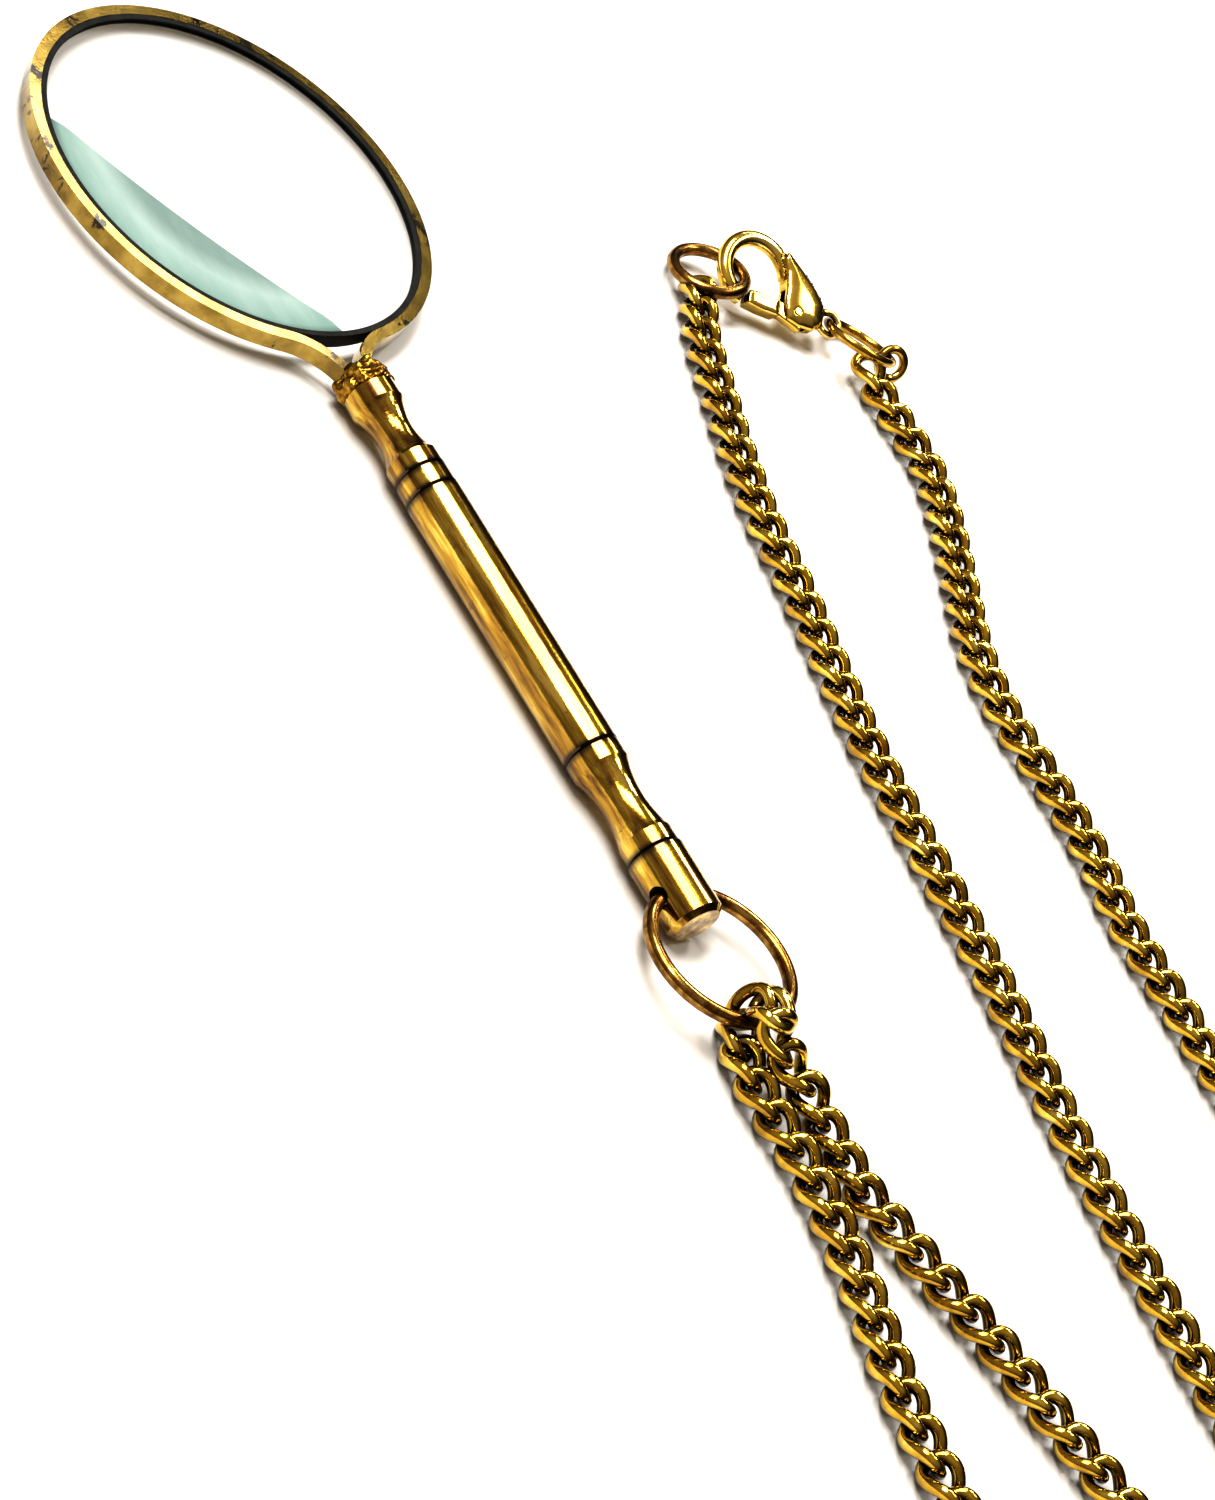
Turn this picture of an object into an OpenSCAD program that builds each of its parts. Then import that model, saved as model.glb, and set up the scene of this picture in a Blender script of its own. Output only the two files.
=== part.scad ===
// Pendant magnifier: a round lens in a brass strip rim on a turned brass handle,
// hung by a wire ring from a curb-link necklace with a lobster clasp.
// Millimetres, +Z up. The handle's axis runs along Y, and the part lies on the plane z = 0.

/* [Lens] */
// Diameter of the lens
lens_d = 38; // [30:0.5:50]
// Thickness of the lens at its middle
lens_mid = 4; // [3:0.1:6]
// Thickness of the lens at its edge
lens_edge = 0.9; // [0.6:0.1:1.1]

/* [Rim] */
// Wall of the black liner outside the lens
liner_back = 0.3; // [0.25:0.05:0.6]
// Depth of the groove that holds the lens
seat_depth = 0.25; // [0.15:0.05:0.4]
// Height of the liner
liner_h = 1.5; // [1.3:0.1:3]
// Thickness of the rim strip
strip_t = 1.1; // [0.7:0.1:1.5]
// Height of the rim strip
strip_h = 1.6; // [1.2:0.1:2]
// Radius of the bend from the rim into each tail
tail_bend = 7; // [5:0.5:10]
// Gap between the two tails where they run straight
tail_gap = 0.1; // [0.05:0.05:0.3]
// Straight length of each tail inside the ferrule
tail_l = 2.2; // [1:0.1:3.5]
// Distance from the ferrule's top to the rim's lowest point
rim_gap = 2.65; // [2:0.05:5]
// How far the rim's middle plane lies under the handle's axis
rim_drop = 0.4; // [0:0.05:0.5]

/* [Handle] */
// Diameter of the end cap
cap_d = 5.2; // [5:0.05:6]
// Length of the end cap
cap_l = 7.1; // [6.5:0.1:10]
// Chamfer at the end of the cap
cap_chamfer = 0.5; // [0.2:0.1:0.8]
// Diameter of the cross hole that the hanging ring passes through
hole_d = 2; // [1.7:0.05:2.4]
// Distance from the cap's end to the middle of the cross hole
hole_at = 3.1; // [2.8:0.1:4]
// Diameter of the lower neck at its foot and shoulder
neck_d = 5.1; // [4.8:0.05:5.4]
// Diameter of the lower neck at its waist
neck_waist_d = 3.8; // [3.4:0.05:4.4]
// Length of the lower neck
neck_l = 10.5; // [9:0.1:14]
// Diameter of the barrel
barrel_d = 5.15; // [4.8:0.05:5.6]
// Length of the barrel
barrel_l = 27.7; // [20:0.1:60]
// Diameter of the collar
collar_d = 5; // [4.8:0.05:5.4]
// Length of the collar
collar_l = 2.15; // [1.5:0.05:4]
// Diameter of the ferrule's foot
ferrule_d = 4.9; // [4.6:0.05:5.3]
// Diameter of the ferrule at its waist
ferrule_waist_d = 3.5; // [3.3:0.05:4.2]
// Diameter of the ferrule's head
head_d = 4.9; // [4.6:0.05:5.4]
// Length of the ferrule up to the brazed end
ferrule_l = 9.6; // [9:0.1:12]
// Height of the brazed lump on the ferrule
braze_l = 2.4; // [1.5:0.1:3]
// Diameter of the tie rod inside the handle
rod_d = 1.6; // [1.2:0.05:2]
// Length of the tie rod inside the cap
rod_in_cap = 2.2; // [1:0.1:2.5]
// Length of the tie rod inside the ferrule
rod_in_ferrule = 2.6; // [1.5:0.1:3]
// Bevel on both edges of every seam
seam_bevel = 0.18; // [0.1:0.02:0.3]

/* [Hanging ring] */
// Radius of the hanging ring at the middle of its wire
ring_r = 6.73; // [6:0.05:8]
// Diameter of the hanging ring's wire
ring_wire = 1.05; // [0.8:0.05:1.1]
// Rise of the ring's far side, which rests on the chain
ring_tilt = 3.2; // [2:0.1:5]

/* [Chain] */
// Diameter of the chain wire
wire_d = 0.8; // [0.7:0.02:0.82]
// Pitch of the chain links
link_pitch = 3.2; // [3.18:0.01:3.24]
// Play between two links
link_play = 0.24; // [0.2:0.01:0.28]
// Half width of a link at the middle of its wire
link_half = 1.55; // [1.5:0.01:1.6]
// Twist of each end of a link
link_twist = 38; // [34:1:40]

/* [Clasp] */
// Thickness of the clasp body
clasp_t = 2.4; // [2.2:0.1:3]
// Radius of the clasp's eye at the middle of its wire
eye_r = 1.2; // [1.2:0.05:1.4]
// Radius of the eye's wire
eye_wire_r = 0.38; // [0.3:0.02:0.4]
// Radius of the hook at the middle of its wire
hook_r = 3.6; // [3.4:0.05:3.8]
// Radius of the hook's wire
hook_wire_r = 0.85; // [0.7:0.05:0.95]
// Diameter of the lever's pin
pin_d = 0.66; // [0.5:0.02:0.7]
// Thickness of the lever's tongue
tongue_t = 1; // [0.8:0.05:1.2]
// Width of the lever's arm
arm_t = 1.9; // [1.4:0.1:2.2]
// Radius of the end ring at the middle of its wire
end_ring_r = 3.55; // [3.5:0.05:3.7]
// Diameter of the end ring's wire
end_ring_wire = 1.05; // [0.8:0.05:1.1]
// Radius of the clasp ring at the middle of its wire
clasp_ring_r = 3.8; // [3.7:0.05:4]
// Diameter of the clasp ring's wire
clasp_ring_wire = 0.75; // [0.6:0.05:0.8]
// Radius of the small ring at the middle of its wire
small_ring_r = 1.5; // [1.5:0.05:1.6]
// Diameter of the small ring's wire
small_ring_wire = 0.7; // [0.6:0.05:0.75]

/* [Hidden] */
$fn = 64;
// Gap between two fixed pieces that fit each other
fit = 0.03;
// Gap between two faces that meet at a seam
seam = 0.02;
// Running clearance of the lever on its pin
pin_run = 0.06;

// Rim sizes from the lens outwards
lens_r = lens_d / 2;
liner_in = lens_r - seat_depth;
liner_out = lens_r + liner_back;
strip_in = liner_out + fit;
strip_mid = strip_in + strip_t / 2;
rim_r = strip_in + strip_t;

// Each tail leaves the rim through one bend that meets both without a kink
tail_x = (strip_t + tail_gap) / 2;
bend_x = tail_x + tail_bend;
bend_y = sqrt(pow(strip_mid + tail_bend, 2) - pow(bend_x, 2));
bend_a = atan2(bend_x, bend_y);

// Heights
axis_z = cap_d / 2;
rim_z = axis_z - rim_drop;

// Stations along the handle, counted from the end of the cap
neck_s = cap_l + seam;
barrel_s = neck_s + neck_l + seam;
collar_s = barrel_s + barrel_l + seam;
ferrule_s = collar_s + collar_l + seam;
braze_s = ferrule_s + ferrule_l + seam;
head_s = braze_s + braze_l;
lens_s = head_s + rim_gap + rim_r;

// The ring hangs in the cross hole by the top of its wire, shared evenly between middle and mouths
ring_sag = ring_r - sqrt(pow(ring_r, 2) - pow(cap_d / 2, 2));
ring_lift = ring_sag / 2;
ring_reach = (2 * ring_r - ring_lift) * cos(ring_tilt) + ring_wire / 2;

// The origin is under the middle of the magnifier with its ring
object_l = ring_reach - hole_at + lens_s + rim_r;
cap_y = -object_l / 2 + ring_reach - hole_at;
lens_y = cap_y + lens_s;
hole_y = cap_y + hole_at;

// A link reaches half a wire and half the play past each joint
link_reach = (link_pitch + wire_d + link_play) / 2;

// Places where the links meet as the chain folds over and under the hanging ring
fold = [
    [2.9, -64.4, 1.4], [3.05, -61.7, 3.13], [3.18, -59.07, 4.99], [3.04, -56.14, 5.92], [1.48, -53.71, 5],
    [-0.65, -53.59, 2.98], [-1.29, -56.01, 1.47], [-2.66, -58.91, 1.48], [-2.69, -62.15, 1.44],
    [-2.6, -65.4, 1.4]
];
// How far each of its links rolls about its own length
fold_roll = [-15.1, -39.9, -59, -58, -27.2, 29.4, 4.8, 4.6, 0];
// Route from the fold down the right strand, round the inner turn and up to the end ring
long_route = [
    [2.9, -64.4, 1.4], [2.6, -70, 1.4], [3.4, -78, 1.4], [5.2, -86, 1.4], [6.8, -94, 1.4],
    [8.6, -103, 1.4], [9.6, -112, 1.4], [9.6, -122, 1.4], [10.6, -131.71, 1.4], [15, -138.21, 1.4],
    [20.5, -138.21, 1.4], [25, -131.71, 1.4], [26.2, -122, 1.4], [26.2, -110, 1.4], [26.6, -97, 1.4],
    [27.4, -88, 1.4], [28.4, -79, 1.4], [30, -68, 1.4], [31.8, -59, 1.4], [33.2, -50, 1.4],
    [34.4, -40, 1.4], [35.6, -31, 1.4], [37.6, -22, 1.4], [39.8, -13, 1.4], [41.6, -4, 1.4],
    [44.2, 4, 1.4], [47, 11, 1.4], [49.6, 17.4, 1.4], [52.08, 21.44, 1.53]
];
// Route from the fold down the left strand, round the outer turn and up to the clasp
short_route = [
    [-2.6, -65.4, 1.4], [-3.3, -72, 1.4], [-5.2, -80, 1.4], [-7.4, -88, 1.4], [-8.8, -97, 1.4],
    [-9.4, -108, 1.4], [-8.6, -120, 1.4], [-5, -132, 1.4], [1, -140.73, 1.4], [9, -147.73, 1.4],
    [19, -151.23, 1.4], [30, -149.23, 1.4], [39, -142.73, 1.4], [45.5, -134, 1.4], [49.5, -122, 1.4],
    [51.5, -109, 1.4], [52.4, -96, 1.4], [52.8, -84, 1.4], [53.2, -72, 1.4], [54, -62, 1.4],
    [54.4, -53, 1.4], [56.2, -46, 1.4], [57, -38, 1.4], [57, -30, 1.4], [59, -22, 1.4],
    [63.4, -14, 1.4], [67.8, -6, 1.4], [70.2, 0, 1.4], [70.4, 5, 1.4], [70.47, 10.19, 1.41]
];
route_steps = 14;

// Where the clasp and its rings lie
eye_at = [68.05, 17.85, 2.75];
clasp_turn = [-25, 0, 147.5];
end_ring_at = [55.8, 25.15, 2.46];
end_ring_turn = [-21.9, -6.49, 0];
long_end_at = [53, 22.75, 1.55];
long_end_turn = [0, -0.68, 55];
clasp_ring_at = [71.16, 15.47, 2.66];
clasp_ring_turn = [-16.85, 14.79, 0];
small_ring_at = [74.69, 13, 2.1];
small_ring_turn = [50.97, -29.05, 0];
short_end_at = [70.61, 11.74, 1.8];
short_end_turn = [8.13, -14.03, 85];

// Points of the clasp in its own plane, with the eye at the origin and the lever on the +Y side
hook_at = [9.2, -1.6];
hook_from = 190;
hook_to = 432;
pivot_at = [4.2, 0.9];
lever_tip_x = 9.9;
slot_t = tongue_t + 0.16;

brass = [0.72, 0.53, 0.25];
chain_brass = [0.80, 0.62, 0.22];

// A smooth curve through hand-placed points
function bow(a, b, c, d, t) = 0.5 * (2 * b + (c - a) * t + (2 * a - 5 * b + 4 * c - d) * t * t
    + (3 * b - a - 3 * c + d) * t * t * t);
function curve(pts) = [
    for (i = [0 : len(pts) - 2], s = [0 : route_steps - 1])
        bow(pts[max(i - 1, 0)], pts[i], pts[i + 1], pts[min(i + 2, len(pts) - 1)], s / route_steps),
    pts[len(pts) - 1]
];
// The first place on the curve that lies a pitch or more past a joint
function past(path, k, from) = k >= len(path) || norm(path[k] - from) >= link_pitch ? k
    : past(path, k + 1, from);
function between(a, b, from) =
    a + (b - a) * (link_pitch - norm(a - from)) / max(norm(b - from) - norm(a - from), 0.001);
// The places where links meet, one pitch apart, up to the end of the curve
function joints(path) = [
    for (j = path[0], k = past(path, 1, j); k <= len(path);
         j = k < len(path) ? between(path[k - 1], path[k], j) : j,
         k = k < len(path) ? past(path, k, j) : k + 1) j
];
function part_of(list, a, b) = [for (i = [a : min(b, len(list) - 1)]) list[i]];

long_joints = joints(curve(long_route));
short_joints = joints(curve(short_route));
long_n = len(long_joints) - 1;
short_n = len(short_joints) - 1;

// Lays children along Y with their own Z pointing to the lens
module along_handle(s) {
    translate([0, cap_y + s, axis_z]) rotate([-90, 0, 0]) children();
}

module at_lens() {
    translate([0, lens_y, rim_z]) children();
}

// A turned piece with bevelled edges at both seams
module turned(d, l, bevel) {
    r = d / 2;
    rotate_extrude() polygon([[0, 0], [r - bevel, 0], [r, bevel], [r, l - bevel], [r - bevel, l], [0, l]]);
}

// A piece with a waist: straight lands at both ends and a smooth hollow between them
module waisted(d0, d1, d_waist, land0, land1, l, bevel) {
    hollow = l - land0 - land1;
    rotate_extrude() polygon(concat(
        [[0, 0], [d0 / 2 - bevel, 0], [d0 / 2, bevel]],
        [for (i = [0 : 16]) let (t = i / 16, d = d0 + (d1 - d0) * t)
            [d / 2 - (d - d_waist) / 2 * pow(sin(180 * t), 0.8), land0 + hollow * t]],
        [[d1 / 2, l - bevel], [d1 / 2 - bevel, l], [0, l]]
    ));
}

module lens() {
    sag = (lens_mid - lens_edge) / 2;
    ball = (pow(lens_r, 2) + pow(sag, 2)) / (2 * sag);
    color([0.80, 0.92, 0.88, 0.5]) at_lens() rotate_extrude($fn = 128) intersection() {
        translate([0, lens_mid / 2 - ball]) circle(ball, $fn = 720);
        translate([0, ball - lens_mid / 2]) circle(ball, $fn = 720);
        translate([0, -lens_mid / 2]) square([lens_r, lens_mid]);
    }
}

module lens_liner() {
    groove = lens_edge / 2 + fit;
    slope = (lens_mid - lens_edge) / lens_d;
    color([0.06, 0.06, 0.06]) at_lens() difference() {
        rotate_extrude() polygon([
            [liner_out, -liner_h / 2], [liner_out, liner_h / 2], [liner_in, liner_h / 2],
            [liner_in, groove + slope * seat_depth + fit], [lens_r + fit, groove],
            [lens_r + fit, -groove], [liner_in, -groove - slope * seat_depth - fit],
            [liner_in, -liner_h / 2]
        ]);
    }
}

// One side of the strip's right half, from its top round to the end of its tail
function strip_side(off) = concat(
    [for (i = [0 : 60]) let (a = 90 - (180 - bend_a) * i / 60) (strip_mid + off) * [cos(a), sin(a)]],
    [for (i = [1 : 14]) let (a = 90 + bend_a + (90 - bend_a) * i / 14)
        [bend_x + (tail_bend - off) * cos(a), (tail_bend - off) * sin(a) - bend_y]],
    [[tail_x + off, -bend_y - tail_l]]
);
function flipped(list) = [for (p = list) [-p[0], p[1]]];
function backwards(list) = [for (i = [len(list) - 1 : -1 : 0]) list[i]];
function rest(list) = [for (i = [1 : len(list) - 1]) list[i]];

// One strip: the rim, a bend on each side and two tails side by side
module rim_strip() {
    outside = strip_side(strip_t / 2);
    inside = strip_side(-strip_t / 2);
    color(brass) at_lens() translate([0, 0, -strip_h / 2]) linear_extrude(strip_h) polygon(concat(
        backwards(outside), rest(flipped(outside)), backwards(flipped(inside)), rest(inside)
    ));
}

// The pocket that the tails need in the ferrule and the lump of braze
module tail_pocket() {
    w = strip_t * 2 + tail_gap + 2 * fit;
    at_lens() {
        translate([-w / 2, -bend_y - tail_l - fit, -strip_h / 2 - fit]) cube([w, tail_l + 2 * fit, strip_h + 2 * fit]);
        for (side = [0, 1]) mirror([side, 0, 0])
            translate([bend_x, -bend_y, 0]) rotate([0, 0, 90 + bend_a]) rotate_extrude(angle = 90.5 - bend_a)
                translate([tail_bend - strip_t / 2 - fit, -strip_h / 2 - fit])
                square([strip_t + 2 * fit, strip_h + 2 * fit]);
    }
}

module braze() {
    color([0.45, 0.30, 0.12]) difference() {
        along_handle(braze_s) union() {
            rotate_extrude() polygon([
                [0, 0], [head_d / 2 - 0.15, 0], [head_d / 2 - 0.1, braze_l * 0.35],
                [head_d / 2 - 0.35, braze_l * 0.7], [head_d / 2 - 0.9, braze_l], [0, braze_l]
            ]);
            for (i = [0 : 4]) rotate([0, 0, 72 * i + 20])
                translate([head_d / 2 - 0.75, 0, braze_l * (0.3 + 0.1 * (i % 3))]) sphere(0.75);
        }
        tail_pocket();
    }
}

module ferrule() {
    color(brass) difference() {
        along_handle(ferrule_s) waisted(ferrule_d, head_d, ferrule_waist_d, 1.7, 1.9, ferrule_l, seam_bevel);
        along_handle(ferrule_s - 1) cylinder(d = rod_d + 2 * fit, h = rod_in_ferrule + 1 + fit);
        tail_pocket();
    }
}

// A turned piece bored for the tie rod
module bored(s, l) {
    difference() {
        along_handle(s) children();
        along_handle(s - 1) cylinder(d = rod_d + 2 * fit, h = l + 2);
    }
}

module collar() {
    color(brass) bored(collar_s, collar_l) turned(collar_d, collar_l, seam_bevel);
}

module barrel() {
    color(brass) bored(barrel_s, barrel_l) turned(barrel_d, barrel_l, seam_bevel);
}

module neck() {
    color(brass) bored(neck_s, neck_l) waisted(neck_d - 0.2, neck_d, neck_waist_d, 1.6, 1.7, neck_l, seam_bevel);
}

module tie_rod() {
    l = ferrule_s + rod_in_ferrule - cap_l + rod_in_cap;
    color([0.55, 0.55, 0.52]) along_handle(cap_l - rod_in_cap) cylinder(d = rod_d, h = l);
}

module end_cap() {
    r = cap_d / 2;
    color(brass) difference() {
        along_handle(0) rotate_extrude() polygon([
            [0, 0], [r - cap_chamfer, 0], [r, cap_chamfer], [r, cap_l - seam_bevel], [r - seam_bevel, cap_l],
            [0, cap_l]
        ]);
        translate([-cap_d, hole_y, axis_z]) rotate([0, 90, 0]) cylinder(d = hole_d, h = 2 * cap_d);
        along_handle(cap_l - rod_in_cap - fit) cylinder(d = rod_d + 2 * fit, h = rod_in_cap + 1);
    }
}

module wire_ring(r, d) {
    rotate_extrude() translate([r, 0]) circle(d = d);
}

module hanging_ring() {
    color(brass) translate([0, hole_y, axis_z]) rotate([-ring_tilt, 0, 0])
        translate([0, ring_lift - ring_r, 0]) wire_ring(ring_r, ring_wire);
}

// One chain link along X: two half rings turned opposite ways, and two bars that join them
module link() {
    c = link_reach - link_half;
    y = link_half * cos(link_twist);
    z = -link_half * sin(link_twist);
    bar = norm([2 * c, 0, 2 * z]);
    for (end = [0, 1]) rotate([0, 0, 180 * end]) {
        translate([c, 0, 0]) rotate([-link_twist, 0, 0]) rotate([0, 0, -90])
            rotate_extrude(angle = 180, $fn = 32) translate([link_half, 0]) circle(d = wire_d, $fn = 20);
        translate([-c, y, -z]) rotate([0, atan2(c, z), 0]) cylinder(d = wire_d, h = bar, $fn = 20);
        for (s = [-1, 1]) translate([c, s * y, s * z]) sphere(d = wire_d * 1.03, $fn = 20);
    }
}

// Links between each two joints that follow each other, each rolled about its length if a list says so
module links(list, roll = []) {
    color(chain_brass) for (i = [0 : len(list) - 2]) {
        step = list[i + 1] - list[i];
        translate((list[i] + list[i + 1]) / 2)
            rotate([0, -asin(step[2] / norm(step)), atan2(step[1], step[0])])
            rotate([len(roll) > i ? roll[i] : 0, 0, 0]) link();
    }
}

// The last link of a strand, turned by the ring that it hangs on
module end_link(at, turn) {
    color(chain_brass) translate(at) rotate(turn) link();
}

module chain_fold() { links(fold, fold_roll); }
module chain_right_run() { links(part_of(long_joints, 0, 12)); }
module chain_inner_turn() { links(part_of(long_joints, 12, 36)); }
module chain_long_low() { links(part_of(long_joints, 36, 49)); }
module chain_long_mid() { links(part_of(long_joints, 49, 62)); }
module chain_long_high() {
    links(part_of(long_joints, 62, long_n));
    end_link(long_end_at, long_end_turn);
}
module chain_left_run() { links(part_of(short_joints, 0, 12)); }
module chain_outer_left() { links(part_of(short_joints, 12, 26)); }
module chain_outer_turn() { links(part_of(short_joints, 26, 42)); }
module chain_outer_right() { links(part_of(short_joints, 42, 58)); }
module chain_short_low() { links(part_of(short_joints, 58, 73)); }
module chain_short_high() {
    links(part_of(short_joints, 73, short_n));
    end_link(short_end_at, short_end_turn);
}

module end_ring() {
    color([0.45, 0.32, 0.15]) translate(end_ring_at) rotate(end_ring_turn) wire_ring(end_ring_r, end_ring_wire);
}

module at_clasp() {
    translate(eye_at) rotate(clasp_turn) children();
}

// The clasp body: eye, cheek plate and hook, with the slot, pin hole and spring pocket cut out
module clasp_body() {
    color([0.86, 0.70, 0.30]) at_clasp() difference() {
        union() {
            rotate_extrude() translate([eye_r, 0]) circle(r = eye_wire_r);
            translate([0, 0, -clasp_t / 2]) linear_extrude(clasp_t) polygon([
                [1.1, -1.15], [2.3, -2.5], [4.1, -3.85], [6.3, -5.2], [6.6, -4.2], [6.1, -2.9], [5.8, -1.4],
                [5.7, 0], [5.4, 1.2], [5, 2], [3.6, 2.2], [2, 1.9], [1.1, 1.1]
            ]);
            translate([hook_at[0], hook_at[1], 0]) rotate([0, 0, hook_from])
                rotate_extrude(angle = hook_to - hook_from) translate([hook_r, 0]) circle(r = hook_wire_r);
        }
        translate([2.6, -1.2, -slot_t / 2]) cube([4, 5, slot_t]);
        translate([pivot_at[0], pivot_at[1], -clasp_t]) cylinder(d = pin_d + 0.02, h = 2 * clasp_t);
    }
}

module clasp_lever() {
    color([0.84, 0.66, 0.28]) at_clasp() difference() {
        union() {
            translate([0, 0, -tongue_t / 2]) linear_extrude(tongue_t)
                polygon([[3.2, 0.4], [4.2, 0], [6.4, 0.35], [6.4, 1.9], [4.2, 2.3], [3.3, 2.6], [2.9, 1.6]]);
            translate([0, 0, -arm_t / 2]) linear_extrude(arm_t) polygon([
                [6.15, 0.5], [lever_tip_x - 0.2, 0.75], [lever_tip_x, 1.2], [lever_tip_x - 0.1, 2.3],
                [8, 2.35], [6.15, 2.15]
            ]);
        }
        translate([pivot_at[0], pivot_at[1], -clasp_t]) cylinder(d = pin_d + 2 * pin_run, h = 2 * clasp_t);
    }
}

module clasp_pin() {
    color([0.7, 0.6, 0.35]) at_clasp() translate([pivot_at[0], pivot_at[1], -clasp_t / 2 + 0.05])
        cylinder(d = pin_d, h = clasp_t - 0.1);
}

// A bent leaf spring in the slot behind the lever
module clasp_spring() {
    color([0.6, 0.6, 0.6]) at_clasp() translate([0, 0, -0.4]) linear_extrude(0.8)
        polygon([[2.75, -1.05], [4.6, -1.05], [5.3, -0.45], [5.2, -0.3], [4.5, -0.88], [2.75, -0.88]]);
}

module clasp_ring() {
    color(brass) translate(clasp_ring_at) rotate(clasp_ring_turn) wire_ring(clasp_ring_r, clasp_ring_wire);
}

module small_ring() {
    color(brass) translate(small_ring_at) rotate(small_ring_turn) wire_ring(small_ring_r, small_ring_wire);
}

lens();
lens_liner();
rim_strip();
braze();
ferrule();
collar();
barrel();
neck();
tie_rod();
end_cap();
hanging_ring();
chain_fold();
chain_right_run();
chain_inner_turn();
chain_long_low();
chain_long_mid();
chain_long_high();
chain_left_run();
chain_outer_left();
chain_outer_turn();
chain_outer_right();
chain_short_low();
chain_short_high();
end_ring();
clasp_body();
clasp_lever();
clasp_pin();
clasp_spring();
clasp_ring();
small_ring();
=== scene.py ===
import math

import bpy
from mathutils import Euler, Matrix, Vector, noise


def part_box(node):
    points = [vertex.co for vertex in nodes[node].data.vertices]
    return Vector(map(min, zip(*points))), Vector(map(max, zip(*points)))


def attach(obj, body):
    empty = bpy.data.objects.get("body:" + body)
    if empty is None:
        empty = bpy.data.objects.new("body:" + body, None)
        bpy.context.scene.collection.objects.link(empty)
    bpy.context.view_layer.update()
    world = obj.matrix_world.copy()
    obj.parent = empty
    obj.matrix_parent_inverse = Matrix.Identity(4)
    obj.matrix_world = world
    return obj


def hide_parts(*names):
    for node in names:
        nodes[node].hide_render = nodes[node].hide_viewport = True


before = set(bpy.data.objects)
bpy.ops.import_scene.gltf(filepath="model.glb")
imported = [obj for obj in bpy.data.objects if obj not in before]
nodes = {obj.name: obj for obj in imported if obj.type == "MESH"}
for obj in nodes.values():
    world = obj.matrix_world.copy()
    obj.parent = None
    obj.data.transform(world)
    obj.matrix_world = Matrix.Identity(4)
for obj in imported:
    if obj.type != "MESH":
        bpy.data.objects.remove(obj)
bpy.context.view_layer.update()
MM = 0.001


def new_object(name, data):
    obj = bpy.data.objects.new(name, data)
    bpy.context.scene.collection.objects.link(obj)
    return obj


def turned_by(degrees):
    """4 x 4 matrix of a turn by three Euler angles."""
    return Euler([math.radians(v) for v in degrees]).to_matrix().to_4x4()


# Camera, at the photograph's place and angle
PHOTO_WIDTH, PHOTO_HEIGHT = 1215, 1500
SENSOR_HEIGHT = 36
FOCAL_LENGTH = 96
CAMERA_AT = (-0.24210, -0.14890, 0.19613)
CAMERA_RIGHT = Vector((0.67686, -0.49164, 0.54786))
CAMERA_UP = Vector((0.08719, 0.79257, 0.60352))

camera_data = bpy.data.cameras.new("camera")
camera_data.sensor_fit = "VERTICAL"
camera_data.sensor_height = SENSOR_HEIGHT
camera_data.sensor_width = SENSOR_HEIGHT * PHOTO_WIDTH / PHOTO_HEIGHT
camera_data.lens = FOCAL_LENGTH
camera_data.clip_start = 0.01
camera_data.clip_end = 20
camera = new_object("camera", camera_data)
backwards = CAMERA_RIGHT.cross(CAMERA_UP).normalized()
sideways = CAMERA_UP.cross(backwards).normalized()
camera_turn = Matrix((sideways, CAMERA_UP, backwards)).transposed().to_4x4()
camera.matrix_world = Matrix.Translation(CAMERA_AT) @ camera_turn
bpy.context.scene.camera = camera

# The necklace, in millimetres. The joints between its links lie near the CAD's routes. The fold
# through the hanging ring is drawn tighter than the CAD's, and the right leg starts nearer to it.
PITCH = 3.2
LYING = 1.4
CURVE_STEPS = 14
FOLD = [
    (1.27, -71.54, LYING), (1.41, -68.34, LYING), (1.5, -65.15, 1.5), (1.12, -62.09, 2.31),
    (-0.53, -59.63, 3.51), (-1.91, -57.67, 5.62), (-0.31, -55.15, 4.47), (-0.32, -54.81, 1.3),
    (-2.39, -57.25, 1.3), (-3.2, -60.3, LYING), (-3.35, -63.5, LYING), (-3.1, -66.7, LYING),
]
FOLD_ROLL = (0, 0, 0, -6, -14, -30, 60, 10, 0, 0, 0)
LONG_ROUTE = [(x, y, LYING) for x, y in (
    (1.27, -71.54), (3.0, -78.5), (5.2, -86), (6.8, -94), (8.6, -103), (9.6, -112), (9.6, -122),
    (10.6, -131.71), (15, -138.21), (20.5, -138.21), (25, -131.71), (26.2, -122), (26.2, -110),
    (26.6, -97), (27.4, -88), (28.4, -79), (30, -68), (31.8, -59), (33.2, -50), (34.4, -40),
    (35.6, -31), (37.6, -22), (39.8, -13), (41.6, -4), (44.2, 4), (47, 11), (49.6, 17.4),
)] + [(52.08, 21.44, 1.53)]
SHORT_ROUTE = [(x, y, LYING) for x, y in (
    (-3.1, -66.7), (-3.6, -72.5), (-5.2, -80), (-7.4, -88), (-8.8, -97), (-9.4, -108),
    (-8.6, -120), (-5, -132), (1, -140.73), (9, -147.73), (19, -151.23), (30, -149.23),
    (39, -142.73), (45.5, -134), (49.5, -122), (51.5, -109), (52.4, -96), (52.8, -84),
    (53.2, -72), (54, -62), (54.4, -53), (56.2, -46), (57, -38), (57, -30), (59, -22),
    (63.4, -14), (67.8, -6), (70.2, 0), (70.4, 5),
)] + [(70.47, 10.19, 1.41)]
# The last link at each end: its middle and its turn in degrees
LONG_END = ((53, 22.75, 1.55), (0, -0.68, 55))
SHORT_END = ((70.61, 11.74, 1.8), (8.13, -14.03, 85))

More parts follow.
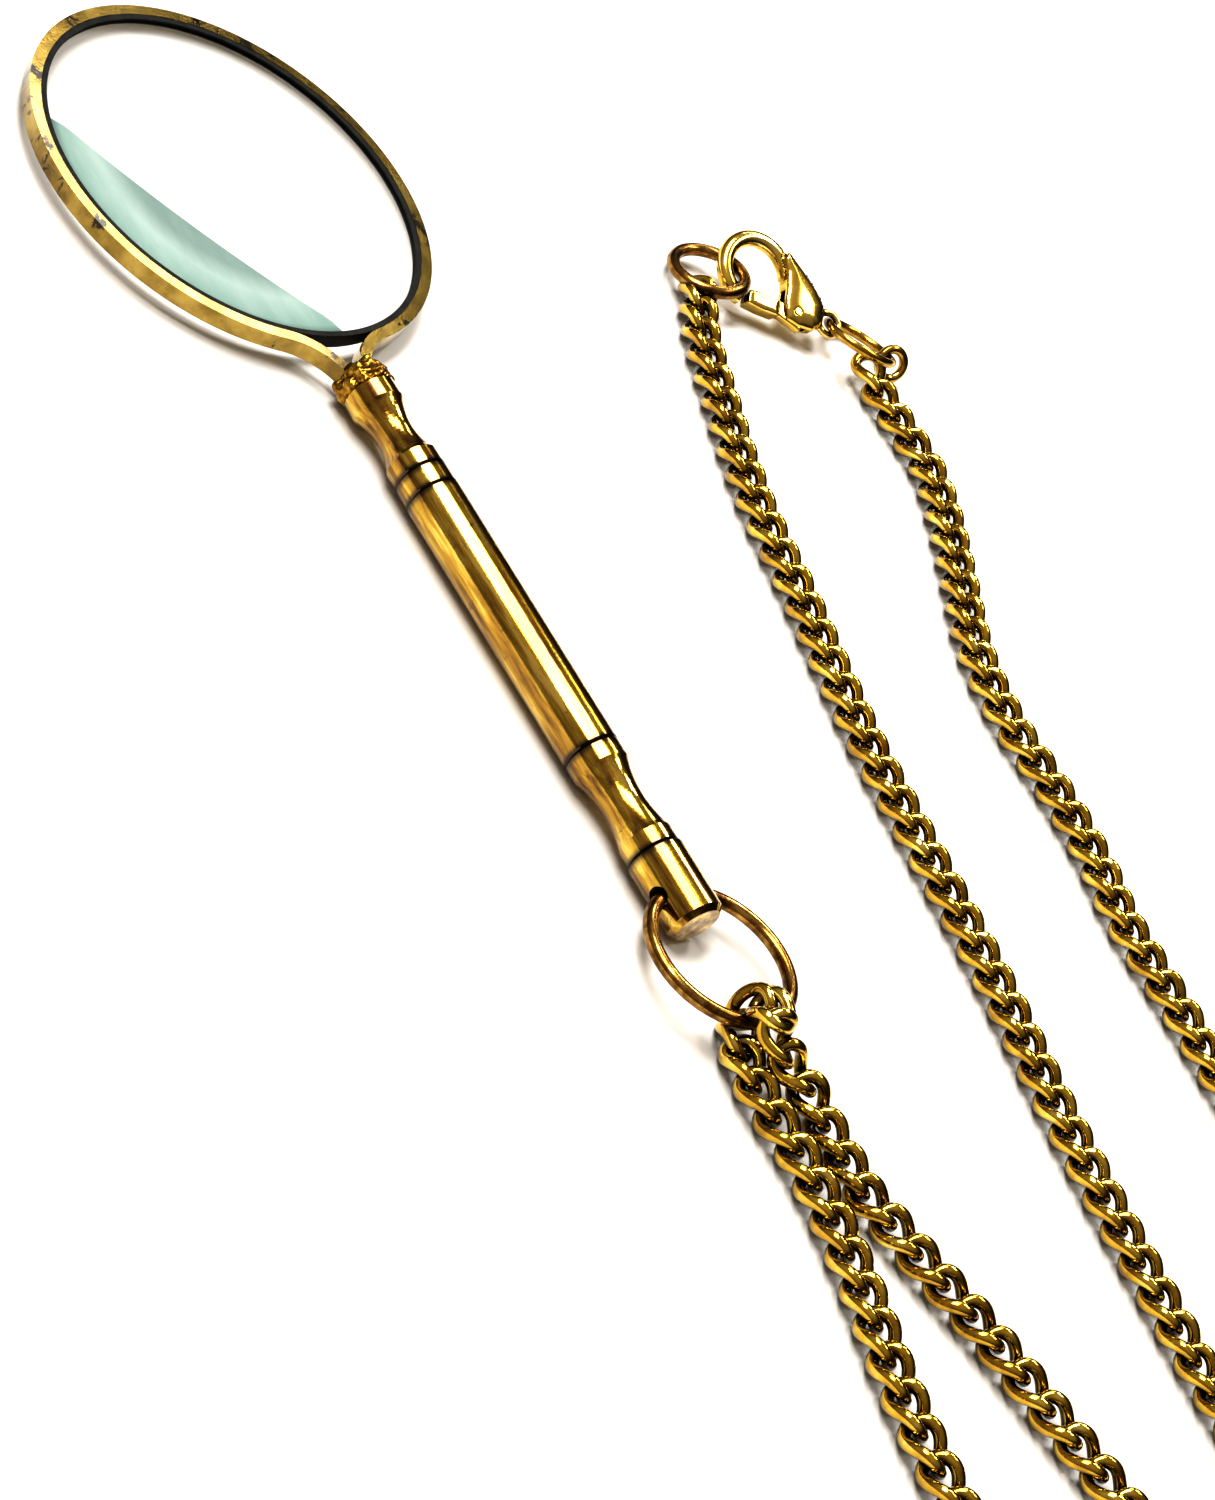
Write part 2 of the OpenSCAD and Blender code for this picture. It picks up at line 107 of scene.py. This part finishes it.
LINK_HALF_LENGTH = 2.2
LINK_HALF_WIDTH = 1.52
LINK_SQUARENESS = 2.4
LINK_TWIST = -40
LINK_POINTS = 44
WIRE_RADIUS = 0.57
WIRE_SIDES = 12
# The shown wire is thicker than the CAD's, so the links are lifted to lie on the floor
LIFT = Vector((0, 0, 0.16))

CHAIN_NODES = [
    "chain_fold", "chain_right_run", "chain_inner_turn", "chain_long_low", "chain_long_mid",
    "chain_long_high", "chain_left_run", "chain_outer_left", "chain_outer_turn",
    "chain_outer_right", "chain_short_low", "chain_short_high",
]


def steps_of(points):
    """Each point with the next one."""
    return list(zip(points[:-1], points[1:]))


def smooth(points):
    """A curve through the points, the same one as the CAD's."""
    pts = [Vector(p) for p in points]
    out = []
    for i in range(len(pts) - 1):
        a, b = pts[max(i - 1, 0)], pts[i]
        c, d = pts[i + 1], pts[min(i + 2, len(pts) - 1)]
        for s in range(CURVE_STEPS):
            t = s / CURVE_STEPS
            out.append(0.5 * (2 * b + (c - a) * t + (2 * a - 5 * b + 4 * c - d) * t * t
                              + (3 * b - a - 3 * c + d) * t ** 3))
    out.append(pts[-1])
    return out


def joints_on(path):
    """Points on the curve about one pitch apart, with the last one at its end."""
    total = sum((b - a).length for a, b in steps_of(path))
    count = round(total / PITCH)
    out, gone, k = [], 0, 1
    for i in range(count + 1):
        want = total * i / count
        while k < len(path) - 1 and gone + (path[k] - path[k - 1]).length < want:
            gone += (path[k] - path[k - 1]).length
            k += 1
        a, b = path[k - 1], path[k]
        out.append(a.lerp(b, min((want - gone) / (b - a).length, 1)))
    return out


def link_between(a, b, roll=0):
    """Matrix of a link that lies between two joints."""
    d = b - a
    turned = Euler((0, -math.asin(d.z / d.length), math.atan2(d.y, d.x))).to_matrix()
    rolled = Matrix.Rotation(math.radians(roll), 3, "X")
    return Matrix.Translation((a + b) / 2) @ (turned @ rolled).to_4x4()


def link_line(count=96):
    """The middle line of one curb link: a rounded oval whose ends are turned opposite ways."""
    out = []
    for i in range(count):
        t = 2 * math.pi * i / count
        ct, st = math.cos(t), math.sin(t)
        x = LINK_HALF_LENGTH * math.copysign(abs(ct) ** (2 / LINK_SQUARENESS), ct)
        y = LINK_HALF_WIDTH * math.copysign(abs(st) ** (2 / LINK_SQUARENESS), st)
        tilt = math.radians(LINK_TWIST) * math.sin(x / LINK_HALF_LENGTH * math.pi / 2)
        out.append(Vector((x, y * math.cos(tilt), y * math.sin(tilt))))
    return out


def even(loop, count):
    """The same closed line with its points evenly apart."""
    pts = loop + [loop[0]]
    lengths = [0]
    for a, b in steps_of(pts):
        lengths.append(lengths[-1] + (b - a).length)
    out, k = [], 0
    for i in range(count):
        s = lengths[-1] * i / count
        while lengths[k + 1] < s:
            k += 1
        f = (s - lengths[k]) / (lengths[k + 1] - lengths[k])
        out.append(pts[k].lerp(pts[k + 1], f))
    return out


def tube_round(line, radius, sides):
    """Vertices and faces of a tube round a closed line."""
    n = len(line)
    tangents = [(line[(i + 1) % n] - line[i - 1]).normalized() for i in range(n)]
    normal = tangents[0].orthogonal().normalized()
    normals = []
    for t in tangents:
        normal = (normal - t * normal.dot(t)).normalized()
        normals.append(normal.copy())
    t = tangents[0]
    last = (normals[-1] - t * normals[-1].dot(t)).normalized()
    twist = math.atan2(t.dot(last.cross(normals[0])), last.dot(normals[0]))
    verts, faces = [], []
    for i in range(n):
        across = tangents[i].cross(normals[i])
        this_row, next_row = i * sides, (i + 1) % n * sides
        for s in range(sides):
            angle = 2 * math.pi * s / sides + twist * i / n
            outwards = normals[i] * math.cos(angle) + across * math.sin(angle)
            verts.append(line[i] + outwards * radius)
            beside = (s + 1) % sides
            faces.append((this_row + s, this_row + beside, next_row + beside, next_row + s))
    return verts, faces


def mesh_object(name, verts, faces):
    mesh = bpy.data.meshes.new(name)
    mesh.from_pydata([tuple(v) for v in verts], [], faces)
    mesh.validate()
    mesh.update()
    return new_object(name, mesh)


def shade_smooth(obj):
    obj.data.polygons.foreach_set("use_smooth", [True] * len(obj.data.polygons))
    obj.data.update()


def set_at(at, degrees):
    return Matrix.Translation(at) @ turned_by(degrees)


long_joints = joints_on(smooth(LONG_ROUTE))
short_joints = joints_on(smooth(SHORT_ROUTE))
fold_joints = [Vector(p) for p in FOLD]

places = [set_at(*LONG_END)]
places += [link_between(a, b) for a, b in steps_of(long_joints)][::-1]
places += [link_between(a, b, roll) for (a, b), roll in zip(steps_of(fold_joints), FOLD_ROLL)]
places += [link_between(a, b) for a, b in steps_of(short_joints)]
places.append(set_at(*SHORT_END))

link_verts, link_faces = tube_round(even(link_line(), LINK_POINTS), WIRE_RADIUS, WIRE_SIDES)
chain_verts, chain_faces = [], []
for place in places:
    base = len(chain_verts)
    chain_verts += [(place @ v + LIFT) * MM for v in link_verts]
    chain_faces += [tuple(base + i for i in f) for f in link_faces]
chain = mesh_object("necklace_chain", chain_verts, chain_faces)
shade_smooth(chain)
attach(chain, "chain")
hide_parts(*CHAIN_NODES)

# The cord's middle line, in metres, with a point at each joint and half way along each link
line = [Vector(LONG_END[0])] + long_joints[::-1] + fold_joints[1:-1] + short_joints
line.append(Vector(SHORT_END[0]))
route = []
for a, b in steps_of(line):
    route += [a * MM, (a + b) / 2 * MM]
route.append(line[-1] * MM)


# Materials. Lengths are in metres, noise sizes are waves per metre and colours are linear.
COAT_ROUGHNESS = 0.06
FINE_BUMP = 0.00005
# Ambient occlusion that counts as a deep hollow and as open, for the painted shade in hollows
HOLLOW, OPEN = 0.40, 0.92
# The painted shade in the groove at a seam: places across it and how dark each is
SEAM_PROFILE = ((-0.00075, 0.0), (-0.00022, 0.96), (0.00022, 0.96), (0.0006, 0.0))
SEAM_MARGIN = 0.005
SEAM_SHADE_COLOUR = (0.03, 0.012, 0.003)
GLASS_IOR = 1.5
LENS_MIDDLE = (0, 0.036402, 0)
# The painted reflection's teal ramp runs between these distances from the lens's middle
TEAL_FROM, TEAL_TO = 0.012, 0.0188
# Fresnel values between which the far face starts to throw the view back
THROWN_FROM, THROWN_TO = 0.75, 0.99
WHITE = (1.0, 1.0, 1.0)


def material(name):
    mat = bpy.data.materials.new(name)
    mat.use_nodes = True
    tree = mat.node_tree
    tree.nodes.clear()
    return mat, tree


def add(tree, kind, **values):
    """A node; in_Name or in_number sets an input, and anything else a property."""
    node = tree.nodes.new(kind)
    for key, value in values.items():
        if key.startswith("in_"):
            name = key[3:].replace("_", " ")
            node.inputs[int(name) if name.isdigit() else name].default_value = value
        else:
            setattr(node, key, value)
    return node


def ramp(tree, stops, source):
    """Colour of a ramp; a stop is (place, colour or grey value)."""
    node = tree.nodes.new("ShaderNodeValToRGB")
    els = node.color_ramp.elements
    while len(els) < len(stops):
        els.new(0.5)
    for el, (pos, col) in zip(els, stops):
        el.position = pos
        el.color = (*col, 1) if isinstance(col, tuple) else (col, col, col, 1)
    tree.links.new(source, node.inputs["Fac"])
    return node.outputs["Color"]


def noise_of(tree, vector, scale, detail=5.0, rough=0.6, distort=0.0):
    node = add(tree, "ShaderNodeTexNoise", in_Scale=float(scale), in_Detail=detail,
               in_Roughness=rough, in_Distortion=distort)
    tree.links.new(vector, node.inputs["Vector"])
    return node.outputs["Fac"]


def stretched(tree, coord, scale, turn=(0, 0, 0)):
    node = add(tree, "ShaderNodeMapping", in_Scale=scale, in_Rotation=turn)
    tree.links.new(coord, node.inputs["Vector"])
    return node.outputs["Vector"]


def mapped(tree, source, start, end, to_start=0.0, to_end=1.0):
    """The source with its range from start to end made another range, and clamped."""
    node = add(tree, "ShaderNodeMapRange", in_1=start, in_2=end, in_3=to_start, in_4=to_end)
    tree.links.new(source, node.inputs["Value"])
    return node.outputs["Result"]


def blend_colour(tree, fac, a, b):
    """Mix of two colours, each a socket or a plain colour."""
    node = add(tree, "ShaderNodeMix", data_type="RGBA")
    for value, name in ((a, 6), (b, 7)):
        if isinstance(value, tuple):
            node.inputs[name].default_value = (*value, 1)
        else:
            tree.links.new(value, node.inputs[name])
    tree.links.new(fac, node.inputs[0])
    return node.outputs[2]


def either(tree, fac, a, b):
    """Shader a where fac is 0 and shader b where it is 1."""
    node = add(tree, "ShaderNodeMixShader")
    for socket, source in zip(node.inputs, (fac, a, b)):
        tree.links.new(source, socket)
    return node.outputs["Shader"]


def shown(tree, shader, kind="ShaderNodeOutputMaterial"):
    tree.links.new(shader, add(tree, kind).inputs["Surface"])


def bumped(tree, heights, bsdf):
    """Bumps one after another, each (height socket, strength, distance)."""
    last = None
    for height, strength, distance in heights:
        node = add(tree, "ShaderNodeBump", in_Strength=strength, in_Distance=distance)
        tree.links.new(height, node.inputs["Height"])
        if last is not None:
            tree.links.new(last, node.inputs["Normal"])
        last = node.outputs["Normal"]
    tree.links.new(last, bsdf.inputs["Normal"])


def seam_shade_lines(tree, coord, seams):
    """1 at the seams, which are places along Y, and 0 away from them: where shade is painted into
    the grooves.
    """
    parts = add(tree, "ShaderNodeSeparateXYZ")
    tree.links.new(coord, parts.inputs[0])
    low, high = min(seams) - SEAM_MARGIN, max(seams) + SEAM_MARGIN
    along = mapped(tree, parts.outputs["Y"], low, high)
    stops = [(0.0, 0.0)]
    for y in sorted(seams):
        stops += [((y + d - low) / (high - low), dark) for d, dark in SEAM_PROFILE]
    return ramp(tree, stops, along)


def metal(name, stops, rough, scale=(1, 1, 1), size=900, grime=None, bump=0.15, bump_size=4000,
          lumps=None, coat=0.0, seams=(), hollow_shade=None):
    """A metal whose colour and gloss wander between the stops.

    grime is (stops, size, colour) of spots, lumps is (size, strength, distance) of coarse bumps,
    seams are the places along Y with painted shade in their grooves, and hollow_shade is (reach,
    colour) of the painted shade in hollows.
    """
    mat, tree = material(name)
    bsdf = add(tree, "ShaderNodeBsdfPrincipled", in_Metallic=1.0, in_Coat_Weight=coat,
               in_Coat_Roughness=COAT_ROUGHNESS)
    coord = add(tree, "ShaderNodeTexCoord").outputs["Object"]
    wander = noise_of(tree, stretched(tree, coord, scale), size, 6.0, 0.62)
    colour = ramp(tree, stops, wander)
    if grime:
        spots = ramp(tree, grime[0], noise_of(tree, coord, grime[1], 8.0, 0.7, 0.4))
        colour = blend_colour(tree, spots, colour, grime[2])
    # Painted shade: the colour goes towards the dark hollow colour where ambient occlusion finds
    # a hollow
    if hollow_shade:
        hollow = add(tree, "ShaderNodeAmbientOcclusion", samples=6, in_Distance=hollow_shade[0])
        open_sky = mapped(tree, hollow.outputs["AO"], HOLLOW, OPEN)
        colour = blend_colour(tree, open_sky, hollow_shade[1], colour)
    # Painted shade: a dark line in the groove at each seam
    if seams:
        colour = blend_colour(tree, seam_shade_lines(tree, coord, seams), colour, SEAM_SHADE_COLOUR)
    tree.links.new(colour, bsdf.inputs["Base Color"])
    gloss = mapped(tree, wander, 0.3, 0.7, rough[1], rough[0])
    tree.links.new(gloss, bsdf.inputs["Roughness"])
    heights = [(noise_of(tree, coord, bump_size, 4.0), bump, FINE_BUMP)]
    if lumps:
        heights.append((noise_of(tree, coord, lumps[0], 2.0), lumps[1], lumps[2]))
    bumped(tree, heights, bsdf)
    shown(tree, bsdf.outputs["BSDF"])
    return mat


# The seams where the handle's pieces meet, each with painted shade in its groove
SEAMS = [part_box(n)[1][1] for n in ("end_cap", "neck", "barrel", "collar")]
handle_mat = metal(
    "handle_brass",
    [(0.36, (0.10, 0.04, 0.002)), (0.45, (0.33, 0.17, 0.005)), (0.54, (0.53, 0.335, 0.022)),
     (0.62, (0.84, 0.60, 0.13))],
    rough=(0.07, 0.20), scale=(1, 0.10, 1), size=900, bump=0.10, coat=0.8, seams=SEAMS,
    grime=([(0.60, 0.0), (0.70, 0.85)], 700, (0.10, 0.045, 0.008)),
)
rim_mat = metal(
    "rim_brass",
    [(0.34, (0.13, 0.08, 0.010)), (0.48, (0.26, 0.172, 0.026)), (0.62, (0.42, 0.30, 0.07))],
    rough=(0.06, 0.14), size=200, coat=0.5,
    grime=([(0.575, 0.0), (0.605, 0.97)], 260, (0.012, 0.008, 0.003)),
)
# From here on, the colour given for hollows is painted shade, laid on where ambient occlusion
# finds a hollow
dark_mat = metal(
    "tarnished_brass",
    [(0.34, (0.05, 0.022, 0.006)), (0.48, (0.22, 0.11, 0.022)), (0.66, (0.52, 0.32, 0.09))],
    rough=(0.14, 0.30), size=700, bump=0.10, bump_size=1500,
    hollow_shade=(0.0012, (0.03, 0.012, 0.004)),
)
braze_mat = metal(
    "brazed_lump",
    [(0.34, (0.05, 0.022, 0.004)), (0.48, (0.30, 0.15, 0.014)), (0.66, (0.66, 0.42, 0.07))],
    rough=(0.20, 0.38), size=800, bump=0.25, bump_size=2200, lumps=(900, 0.7, 0.0006),
    hollow_shade=(0.0009, (0.02, 0.008, 0.002)),
)
chain_mat = metal(
    "chain_gold",
    [(0.30, (0.36, 0.19, 0.008)), (0.52, (0.68, 0.44, 0.03)), (0.70, (0.92, 0.72, 0.16))],
    rough=(0.06, 0.14), size=350, bump=0.08, coat=0.6,
    grime=([(0.62, 0.0), (0.72, 0.7)], 500, (0.10, 0.05, 0.006)),
    hollow_shade=(0.0017, (0.022, 0.010, 0.002)),
)
clasp_mat = metal(
    "clasp_gold",
    [(0.30, (0.62, 0.38, 0.05)), (0.52, (0.84, 0.60, 0.13)), (0.70, (0.95, 0.80, 0.36))],
    rough=(0.10, 0.20), size=300, bump=0.08, bump_size=1800,
    grime=([(0.64, 0.0), (0.74, 0.5)], 900, (0.14, 0.07, 0.01)),
    hollow_shade=(0.0014, (0.05, 0.022, 0.004)),
)
ring_mat = metal(
    "ring_gold",
    [(0.30, (0.24, 0.12, 0.012)), (0.52, (0.52, 0.32, 0.05)), (0.70, (0.84, 0.62, 0.18))],
    rough=(0.10, 0.24), size=600, bump=0.08, hollow_shade=(0.0012, (0.03, 0.012, 0.003)),
)
steel_mat = metal(
    "plain_steel", [(0.3, (0.40, 0.39, 0.37)), (0.7, (0.62, 0.61, 0.58))],
    rough=(0.3, 0.45), size=800,
)


def liner_material():
    mat, tree = material("black_liner")
    bsdf = add(tree, "ShaderNodeBsdfPrincipled", in_Roughness=0.6, in_Specular_IOR_Level=0.15)
    coord = add(tree, "ShaderNodeTexCoord").outputs["Object"]
    grain = noise_of(tree, coord, 900)
    colour = ramp(tree, [(0.35, (0.004, 0.004, 0.004)), (0.7, (0.02, 0.019, 0.016))], grain)
    tree.links.new(colour, bsdf.inputs["Base Color"])
    bumped(tree, [(grain, 0.3, FINE_BUMP)], bsdf)
    shown(tree, bsdf.outputs["BSDF"])
    return mat


def glass_material():
    """Clear glass. Where its far face would throw the view back inside, a pale teal is painted in
    as that inside reflection.

    The near face bends the view as glass does; the far face lets it through, white or teal.
    """
    mat, tree = material("lens_glass")
    link = tree.links.new
    near = add(tree, "ShaderNodeBsdfPrincipled", in_IOR=GLASS_IOR, in_Metallic=0.0,
               in_Transmission_Weight=1)
    coord = add(tree, "ShaderNodeTexCoord").outputs["Object"]
    haze = noise_of(tree, coord, 140, 3.0)
    link(ramp(tree, [(0.3, (0.975, 0.99, 0.985)), (0.7, WHITE)], haze), near.inputs["Base Color"])
    link(mapped(tree, haze, 0.3, 0.7, 0.0, 0.02), near.inputs["Roughness"])

    # Painted reflection: a teal that stands in for the view thrown back inside, with faint
    # streaks, darker towards the rim
    reach = add(tree, "ShaderNodeVectorMath", operation="DISTANCE")
    link(stretched(tree, coord, (1, 1, 0)), reach.inputs[0])
    reach.inputs[1].default_value = LENS_MIDDLE
    teal = ramp(
        tree,
        [(0.0, (0.28, 0.385, 0.37)), (0.35, (0.46, 0.585, 0.565)), (0.78, (0.33, 0.47, 0.44)),
         (1.0, (0.03, 0.08, 0.07))],
        mapped(tree, reach.outputs["Value"], TEAL_FROM, TEAL_TO),
    )
    teal_streak_place = stretched(tree, coord, (1, 0.3, 1), (0, 0, 0.9))
    streaks = ramp(tree, [(0.35, (0.80, 0.86, 0.84)), (0.65, WHITE)],
                   noise_of(tree, teal_streak_place, 260, 5.0, 0.65))
    tint = add(tree, "ShaderNodeMix", data_type="RGBA", blend_type="MULTIPLY", in_0=1.0)
    link(teal, tint.inputs[6])
    link(streaks, tint.inputs[7])

    fresnel = add(tree, "ShaderNodeFresnel", in_IOR=GLASS_IOR)
    thrown = mapped(tree, fresnel.outputs[0], THROWN_FROM, THROWN_TO)
    far = add(tree, "ShaderNodeBsdfTransparent")
    link(blend_colour(tree, thrown, WHITE, tint.outputs[2]), far.inputs["Color"])
    backfacing = add(tree, "ShaderNodeNewGeometry").outputs["Backfacing"]
    glass = either(tree, backfacing, near.outputs["BSDF"], far.outputs["BSDF"])

    shadow = add(tree, "ShaderNodeLightPath").outputs["Is Shadow Ray"]
    clear = add(tree, "ShaderNodeBsdfTransparent")
    shown(tree, either(tree, shadow, glass, clear.outputs["BSDF"]))
    return mat


# Pieces of the scene that replace a CAD node; sizes are in millimetres unless said otherwise.
# The clasp's own frame, in which its plate and its arm are flat
CLASP = Matrix.Translation((68.05, 17.85, 2.75)) @ turned_by((-25, 0, 147.5))
PLATE = [
    (1.1, -1.15), (2.3, -2.5), (4.1, -3.85), (6.7, -5.6), (7.1, -4.2), (6.3, -2.9), (6, -1.4),
    (5.9, 0), (5.6, 1.2), (5, 2), (3.6, 2.2), (2, 1.9), (1.1, 1.1),
]
ARM = [(6, 0.2), (9.7, 0.5), (10.1, 1.2), (9.9, 2.6), (8, 2.6), (6, 2.4)]
# The end ring's axis in the CAD and in the photo
END_RING_AXIS = Vector((-0.105, 0.373, 0.922))
END_RING_LEANT = Vector((-0.148, 0.236, 0.961))
END_RING_GROWTH = 1.04


def finished(name, node, voxel=0, smoothed=0, bevel=0):
    """A copy of a node's mesh with its edges rounded, in the node's place."""
    obj = new_object(name, nodes[node].data.copy())
    if voxel:
        mod = obj.modifiers.new("cast", "REMESH")
        mod.mode = "VOXEL"
        mod.voxel_size = voxel * MM
        mod.use_smooth_shade = True
    if smoothed:
        mod = obj.modifiers.new("soften", "SMOOTH")
        mod.factor = 0.5
        mod.iterations = smoothed
    if bevel:
        mod = obj.modifiers.new("edges", "BEVEL")
        mod.width = bevel * MM
        mod.segments = 3
        mod.limit_method = "ANGLE"
        mod.angle_limit = math.radians(40)
        mod.harden_normals = True
    bpy.context.view_layer.update()
    shaped = obj.evaluated_get(bpy.context.evaluated_depsgraph_get())
    done = bpy.data.meshes.new_from_object(shaped)
    obj.modifiers.clear()
    obj.data = done
    obj.data.name = name
    return obj


def pillowed(obj, outline, reach, low):
    """Rounds a plate of the clasp off towards its outline, where it is low times as thick."""
    back_to_clasp = CLASP.inverted()
    corners = [Vector(p) for p in outline]
    sides = steps_of(corners + corners[:1])
    for v in obj.data.vertices:
        p = back_to_clasp @ (v.co / MM)
        flat = Vector((p.x, p.y))
        crossings, near = 0, reach
        for a, b in sides:
            s = min(max((flat - a).dot(b - a) / (b - a).length_squared, 0), 1)
            near = min(near, (flat - a - (b - a) * s).length)
            if (a.y > p.y) != (b.y > p.y):
                crossings += p.x < a.x + (p.y - a.y) * (b.x - a.x) / (b.y - a.y)
        if crossings % 2:
            p.z *= low + (1 - low) * math.sqrt(1 - (1 - near / reach) ** 2)
            v.co = (CLASP @ p) * MM
    return obj


def swollen(obj, more):
    """Moves every point outwards by more(point), in metres."""
    outwards = [v.normal.copy() for v in obj.data.vertices]
    for v, n in zip(obj.data.vertices, outwards):
        v.co += n * more(v.co)
    return obj


def knobs(at):
    """How far the braze stands out at a point, in metres, as coarse and finer knobs."""
    return 0.00018 + 0.00048 * (noise.noise(at * 950) + 0.5 * noise.noise(at * 2400))


def dressed(obj, node, body):
    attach(obj, body)
    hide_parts(node)
    return obj


def wire_ring(name, node, body, more):
    """A copy of a wire ring whose wire is thicker all round by more."""
    obj = swollen(finished(name, node), lambda at: more * MM)
    shade_smooth(obj)
    return dressed(obj, node, body)


clasp_body = pillowed(finished("clasp_cast", "clasp_body", 0.12, 14), PLATE, 1.9, 0.4)
dressed(clasp_body, "clasp_body", "chain")
clasp_lever = pillowed(finished("clasp_gate", "clasp_lever", 0.10, 18), ARM, 0.9, 0.55)
dressed(clasp_lever, "clasp_lever", "clasp_lever")
rim = dressed(finished("rim_band", "rim_strip", bevel=0.38), "rim_strip", "magnifier")
braze = swollen(finished("braze_lump", "braze", 0.12, 3), knobs)
dressed(braze, "braze", "magnifier")
hanging_ring = wire_ring("hanging_wire", "hanging_ring", "hanging_ring", 0.12)
clasp_ring = wire_ring("clasp_wire", "clasp_ring", "chain", 0.10)
small_ring = wire_ring("small_wire", "small_ring", "chain", 0.12)
end_ring = wire_ring("end_wire", "end_ring", "chain", 0.10)
middle = sum((v.co for v in end_ring.data.vertices), Vector()) / len(end_ring.data.vertices)
lean = END_RING_AXIS.rotation_difference(END_RING_LEANT)
for v in end_ring.data.vertices:
    v.co = middle + lean @ ((v.co - middle) * END_RING_GROWTH)


def paint(mat, *names):
    """Gives a material to pieces, each the name of a CAD node or an object."""
    for name in names:
        obj = nodes[name] if isinstance(name, str) else name
        obj.data.materials.clear()
        obj.data.materials.append(mat)


paint(glass_material(), "lens")
paint(liner_material(), "lens_liner")
paint(rim_mat, rim)
paint(handle_mat, "ferrule", "collar", "barrel", "neck", "end_cap")
paint(braze_mat, braze)
paint(dark_mat, hanging_ring, end_ring)
paint(clasp_mat, clasp_body, clasp_lever, "clasp_pin")
paint(ring_mat, clasp_ring, small_ring)
paint(steel_mat, "tie_rod", "clasp_spring")
paint(chain_mat, chain)

# Floor, light and backdrop
GAMMA = 0.76
FLOOR_REACH = 3
FLOOR_COLOUR = (0.80, 0.775, 0.74, 1)
# Where the room is brightest, and how bright it is from away from there (0) to there (1)
BRIGHTEST = (-0.45, 0.10, 0.89)
ROOM = [
    (0.0, (0.03, 0.024, 0.016)), (0.16, (0.045, 0.036, 0.024)), (0.34, (0.19, 0.16, 0.12)),
    (0.62, (0.38, 0.33, 0.26)), (1.0, (0.60, 0.52, 0.43)),
]

bpy.context.scene.view_settings.view_transform = "Standard"
bpy.context.scene.view_settings.gamma = GAMMA
floor_mat, floor_tree = material("pale_floor")
floor_bsdf = add(floor_tree, "ShaderNodeBsdfPrincipled", in_Roughness=0.9,
                 in_Base_Color=FLOOR_COLOUR)
shown(floor_tree, floor_bsdf.outputs["BSDF"])
corners = [(x * FLOOR_REACH, y * FLOOR_REACH, 0) for x, y in ((-1, -1), (1, -1), (1, 1), (-1, 1))]
floor = mesh_object("floor", corners, [(0, 1, 2, 3)])
floor.data.materials.append(floor_mat)


def area_light(name, at, to, size, power):
    """A rectangular lamp at a place, turned towards another."""
    data = bpy.data.lights.new(name, "AREA")
    data.shape = "RECTANGLE"
    data.size, data.size_y = size
    data.energy = power
    obj = new_object(name, data)
    obj.location = at
    obj.rotation_euler = (Vector(to) - Vector(at)).to_track_quat("-Z", "Y").to_euler()
    return obj


lights = [
    area_light("key", (0.57, 0.21, 0.67), (0.02, -0.02, 0), (0.17, 0.17), 3.4),
    area_light("top", (-0.14, 0.345, 0.82), (0, -0.015, 0), (0.70, 0.30), 12.5),
    area_light("glint", (0.48, 0.47, 0.49), (0, 0.03, 0), (0.22, 0.11), 0.6),
    area_light("gleam", (0.45, -0.11, 0.81), (0.065, 0.02, 0), (0.22, 0.20), 1.6),
]
# The lamps leave the lens out, so that they don't mirror in it and cut into the teal
glare_free = bpy.data.collections.new("glare_free")
glare_free.objects.link(nodes["lens"])
glare_free.collection_objects[0].light_linking.link_state = "EXCLUDE"
for light in lights:
    light.light_linking.receiver_collection = glare_free
    light.visible_transmission = False

# The room: dark low down on the right and brighter overhead and on the left; it is plain white
# where the camera sees it
world = bpy.data.worlds.new("studio")
world.use_nodes = True
sky = world.node_tree
sky.nodes.clear()
toward = add(sky, "ShaderNodeVectorMath", operation="DOT_PRODUCT")
sky.links.new(add(sky, "ShaderNodeTexCoord").outputs["Generated"], toward.inputs[0])
toward.inputs[1].default_value = BRIGHTEST
room = add(sky, "ShaderNodeBackground", in_Strength=1.0)
sky.links.new(ramp(sky, ROOM, toward.outputs["Value"]), room.inputs["Color"])
pale = add(sky, "ShaderNodeBackground", in_Strength=1.0, in_Color=(*WHITE, 1))
seen = add(sky, "ShaderNodeLightPath").outputs["Is Camera Ray"]
backdrop = either(sky, seen, room.outputs["Background"], pale.outputs["Background"])
shown(sky, backdrop, "ShaderNodeOutputWorld")
bpy.context.scene.world = world
